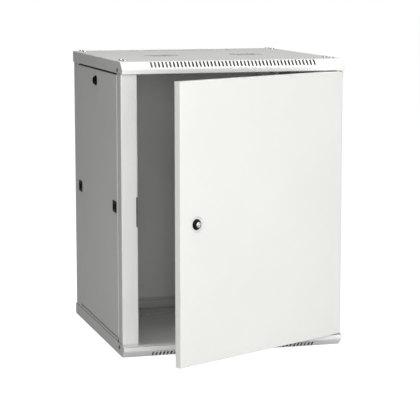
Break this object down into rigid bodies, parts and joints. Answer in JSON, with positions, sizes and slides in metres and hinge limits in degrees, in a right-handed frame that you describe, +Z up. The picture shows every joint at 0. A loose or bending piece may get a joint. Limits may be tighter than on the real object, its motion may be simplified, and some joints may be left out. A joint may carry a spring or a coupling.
{
  "type": "network server rack cabinet",
  "caption": "Wall-mounted 19-inch network cabinet: box of folded sheet steel with vented fascias, hinged locking front door, lift-off side panels and sliding rack rails.",
  "frame": {"origin": "centre of the underside of the base cover", "axes": "+Z up, +X to the right seen from the front, +Y from the front towards the wall behind"},
  "size_m": [0.6136, 0.899, 0.7735],
  "materials": {
    "grey_paint": "satin light grey powder coat",
    "door_paint": "satin light grey powder coat",
    "zinc": "zinc plated",
    "chrome": "polished",
    "black_plastic": "fine matt",
    "brass": "turned"
  },
  "bodies": {
    "cabinet": {"base_cover": "grey_paint", "top_cover": "grey_paint", "base_cable_plate": "grey_paint", "top_cable_plate": "grey_paint", "rear_panel": "grey_paint", "post_front_left": "grey_paint", "post_rear_left": "grey_paint", "frame_rail_top_left": "grey_paint", "frame_rail_base_left": "grey_paint", "depth_rail_lower_left": "zinc", "depth_rail_upper_left": "zinc", "side_panel_left": "grey_paint", "side_lock_left_housing": "black_plastic", "side_lock_left_nut": "zinc", "latch_left_front_bezel": "black_plastic", "latch_left_rear_bezel": "black_plastic", "cover_screw_left_1": "zinc", "cover_screw_left_2": "zinc", "cover_screw_left_3": "zinc", "cover_screw_left_4": "zinc", "post_front_right": "grey_paint", "post_rear_right": "grey_paint", "frame_rail_top_right": "grey_paint", "frame_rail_base_right": "grey_paint", "depth_rail_lower_right": "zinc", "depth_rail_upper_right": "zinc", "side_panel_right": "grey_paint", "side_lock_right_housing": "black_plastic", "side_lock_right_nut": "zinc", "latch_right_front_bezel": "black_plastic", "latch_right_rear_bezel": "black_plastic", "cover_screw_right_1": "zinc", "cover_screw_right_2": "zinc", "cover_screw_right_3": "zinc", "cover_screw_right_4": "zinc", "hinge_bush_top": "brass", "hinge_pin_bottom": "zinc", "earth_stud": "brass"},
    "door": {"door_panel": "door_paint", "door_stiffener": "door_paint", "door_lock_housing": "black_plastic", "door_lock_nut": "zinc", "hinge_guide_top": "black_plastic", "hinge_socket_bottom": "black_plastic"},
    "door_lock": {"door_lock_rotor": "chrome", "door_lock_cam": "zinc"},
    "hinge_pin": {"hinge_pin_top": "zinc"},
    "side_lock_left": {"side_lock_left_rotor": "black_plastic", "side_lock_left_cam": "zinc"},
    "latch_left_front": {"latch_left_front_slider": "black_plastic"},
    "latch_left_rear": {"latch_left_rear_slider": "black_plastic"},
    "rack_rail_front_left": {"rack_rail_front_left": "zinc"},
    "rack_rail_rear_left": {"rack_rail_rear_left": "zinc"},
    "side_lock_right": {"side_lock_right_rotor": "black_plastic", "side_lock_right_cam": "zinc"},
    "latch_right_front": {"latch_right_front_slider": "black_plastic"},
    "latch_right_rear": {"latch_right_rear_slider": "black_plastic"},
    "rack_rail_front_right": {"rack_rail_front_right": "zinc"},
    "rack_rail_rear_right": {"rack_rail_rear_right": "zinc"}
  },
  "joints": [
    {"name": "door_hinge", "type": "hinge", "parent": "cabinet", "child": "door", "pos_m": [0.288, -0.301, 0.385], "axis": [0, 0, 1], "range_deg": [-28.4, 151.6]},
    {"name": "door_lock_turn", "type": "hinge", "parent": "door", "child": "door_lock", "pos_m": [-0.17106, -0.56001, 0.385], "axis": [-0.4756, 0.8796, 0], "range_deg": [0, 90]},
    {"name": "hinge_pin_slide", "type": "slide", "parent": "door", "child": "hinge_pin", "axis": [0, 0, -1], "range_m": [0, 0.01], "stiffness_N_per_m": 300, "springref_m": -0.01},
    {"name": "side_lock_left_turn", "type": "hinge", "parent": "cabinet", "child": "side_lock_left", "pos_m": [-0.2984, 0.008, 0.7045], "axis": [-1, 0, 0], "range_deg": [0, 90]},
    {"name": "latch_left_front_slide", "type": "slide", "parent": "cabinet", "child": "latch_left_front", "axis": [0, 1, 0], "range_m": [0, 0.008], "stiffness_N_per_m": 150, "springref_m": -0.01},
    {"name": "latch_left_rear_slide", "type": "slide", "parent": "cabinet", "child": "latch_left_rear", "axis": [0, -1, 0], "range_m": [0, 0.008], "stiffness_N_per_m": 150, "springref_m": -0.01},
    {"name": "rack_rail_front_left_slide", "type": "slide", "parent": "cabinet", "child": "rack_rail_front_left", "axis": [0, 1, 0], "range_m": [-0.065, 0.095]},
    {"name": "rack_rail_rear_left_slide", "type": "slide", "parent": "cabinet", "child": "rack_rail_rear_left", "axis": [0, -1, 0], "range_m": [-0.05, 0.095]},
    {"name": "side_lock_right_turn", "type": "hinge", "parent": "cabinet", "child": "side_lock_right", "pos_m": [0.2984, 0.008, 0.7045], "axis": [1, 0, 0], "range_deg": [0, 90]},
    {"name": "latch_right_front_slide", "type": "slide", "parent": "cabinet", "child": "latch_right_front", "axis": [0, 1, 0], "range_m": [0, 0.008], "stiffness_N_per_m": 150, "springref_m": -0.01},
    {"name": "latch_right_rear_slide", "type": "slide", "parent": "cabinet", "child": "latch_right_rear", "axis": [0, -1, 0], "range_m": [0, 0.008], "stiffness_N_per_m": 150, "springref_m": -0.01},
    {"name": "rack_rail_front_right_slide", "type": "slide", "parent": "cabinet", "child": "rack_rail_front_right", "axis": [0, 1, 0], "range_m": [-0.065, 0.095]},
    {"name": "rack_rail_rear_right_slide", "type": "slide", "parent": "cabinet", "child": "rack_rail_rear_right", "axis": [0, -1, 0], "range_m": [-0.05, 0.095]}
  ]
}
